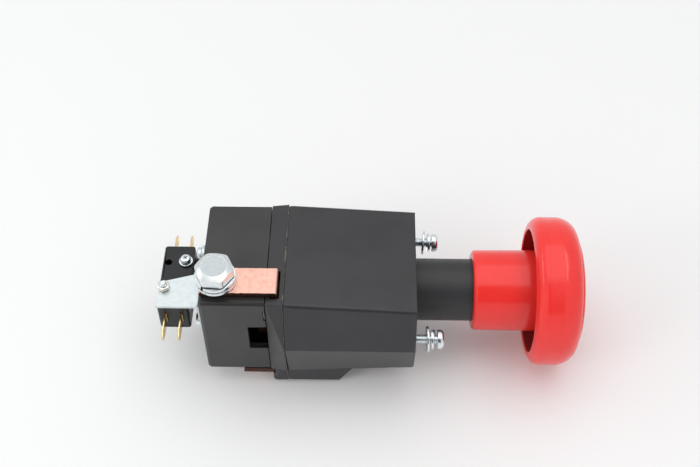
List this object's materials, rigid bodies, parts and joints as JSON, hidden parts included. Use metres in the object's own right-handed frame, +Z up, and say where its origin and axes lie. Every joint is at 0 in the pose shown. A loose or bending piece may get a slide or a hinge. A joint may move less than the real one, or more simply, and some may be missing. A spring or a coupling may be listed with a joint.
{
  "type": "emergency stop button",
  "caption": "Red mushroom button on a push-pull plunger that opens a heavy battery circuit between two copper bar terminals and works a microswitch on the back.",
  "frame": {"origin": "where the plunger's axis crosses the face that bears on the panel", "axes": "+X along the plunger towards the button, +Z up through the upper terminal, +Y to the far side"},
  "size_m": [0.214, 0.0778, 0.084],
  "materials": {
    "front_plastic": "satin black moulding with a very fine spark texture",
    "rear_plastic": "semi-gloss black moulding",
    "neck_plastic": "satin black turned plastic",
    "red_plastic": "glossy signal red moulding",
    "copper": null,
    "silver": null,
    "spring_steel": "oiled spring steel",
    "steel": "ground steel",
    "brass": "turned brass",
    "gold_blade": "gold-tinted plated brass blade",
    "insulator": "ivory insulating moulding",
    "switch_plastic": "satin black thermoset case",
    "zinc": "bright zinc-plated steel, slightly blue"
  },
  "bodies": {
    "switch_body": {"far_panel_insert": "brass", "far_panel_screw": "zinc", "far_panel_spring_washer": "zinc", "far_panel_washer": "zinc", "far_switch_terminal_1": "gold_blade", "far_switch_terminal_2": "gold_blade", "front_housing": "front_plastic", "lower_bracket_screw": "zinc", "lower_detent_spring": "spring_steel", "lower_fixed_contact": "silver", "lower_flat_washer": "zinc", "lower_spring_washer": "zinc", "lower_switch_bracket": "zinc", "lower_switch_nut": "zinc", "lower_switch_screw": "zinc", "lower_terminal_bar": "copper", "lower_terminal_bolt": "zinc", "lower_terminal_insert": "brass", "lower_tie_screw": "zinc", "microswitch_case": "switch_plastic", "microswitch_cover": "switch_plastic", "middle_housing": "front_plastic", "near_panel_insert": "brass", "near_panel_screw": "zinc", "near_panel_spring_washer": "zinc", "near_panel_washer": "zinc", "near_switch_terminal_1": "gold_blade", "near_switch_terminal_2": "gold_blade", "neck_sleeve": "neck_plastic", "rear_housing": "rear_plastic", "switch_screw_washer": "zinc", "upper_bracket_screw": "zinc", "upper_detent_spring": "spring_steel", "upper_fixed_contact": "silver", "upper_flat_washer": "zinc", "upper_spring_washer": "zinc", "upper_switch_bracket": "zinc", "upper_switch_nut": "zinc", "upper_switch_screw": "zinc", "upper_terminal_bar": "copper", "upper_terminal_bolt": "zinc", "upper_terminal_insert": "brass", "upper_tie_screw": "zinc"},
    "button": {"mushroom_button": "red_plastic", "face_disc": "red_plastic", "button_screw": "zinc", "plunger_shaft": "steel", "shaft_tip": "insulator", "spring_clip": "spring_steel"},
    "bridge": {"contact_bridge": "copper", "bridge_bush": "insulator", "contact_spring": "spring_steel", "near_moving_contact": "silver", "far_moving_contact": "silver"},
    "upper_ball": {"upper_detent_ball": "steel"},
    "lower_ball": {"lower_detent_ball": "steel"},
    "lever": {"switch_lever": "spring_steel"},
    "switch_plunger": {"microswitch_button": "insulator"}
  },
  "joints": [
    {"name": "button_push", "type": "slide", "parent": "switch_body", "child": "button", "axis": [-1, 0, 0], "range_m": [0, 0.012]},
    {"name": "bridge_travel", "type": "slide", "parent": "switch_body", "child": "bridge", "axis": [-1, 0, 0], "range_m": [0, 0.01]},
    {"name": "upper_ball_lift", "type": "slide", "parent": "switch_body", "child": "upper_ball", "axis": [0, 0, 1], "range_m": [0, 0.0008], "stiffness_N_per_m": 2000, "deforming": ["upper_detent_spring"]},
    {"name": "lower_ball_lift", "type": "slide", "parent": "switch_body", "child": "lower_ball", "axis": [0, 0, -1], "range_m": [0, 0.0008], "stiffness_N_per_m": 2000, "deforming": ["lower_detent_spring"]},
    {"name": "lever_swing", "type": "hinge", "parent": "switch_body", "child": "lever", "pos_m": [-0.1126, 0.0165, 0], "axis": [0, 0, -1], "range_deg": [0, 9.6]},
    {"name": "switch_button_press", "type": "slide", "parent": "switch_body", "child": "switch_plunger", "axis": [-1, 0, 0], "range_m": [0, 0.0023]}
  ],
  "couplings": [
    {"joint": "bridge_travel", "follows": "button_push", "ratio": 0.8333},
    {"joint": "lever_swing", "follows": "button_push", "rad_per_m": 13.817},
    {"joint": "switch_button_press", "follows": "button_push", "ratio": 0.1833}
  ]
}
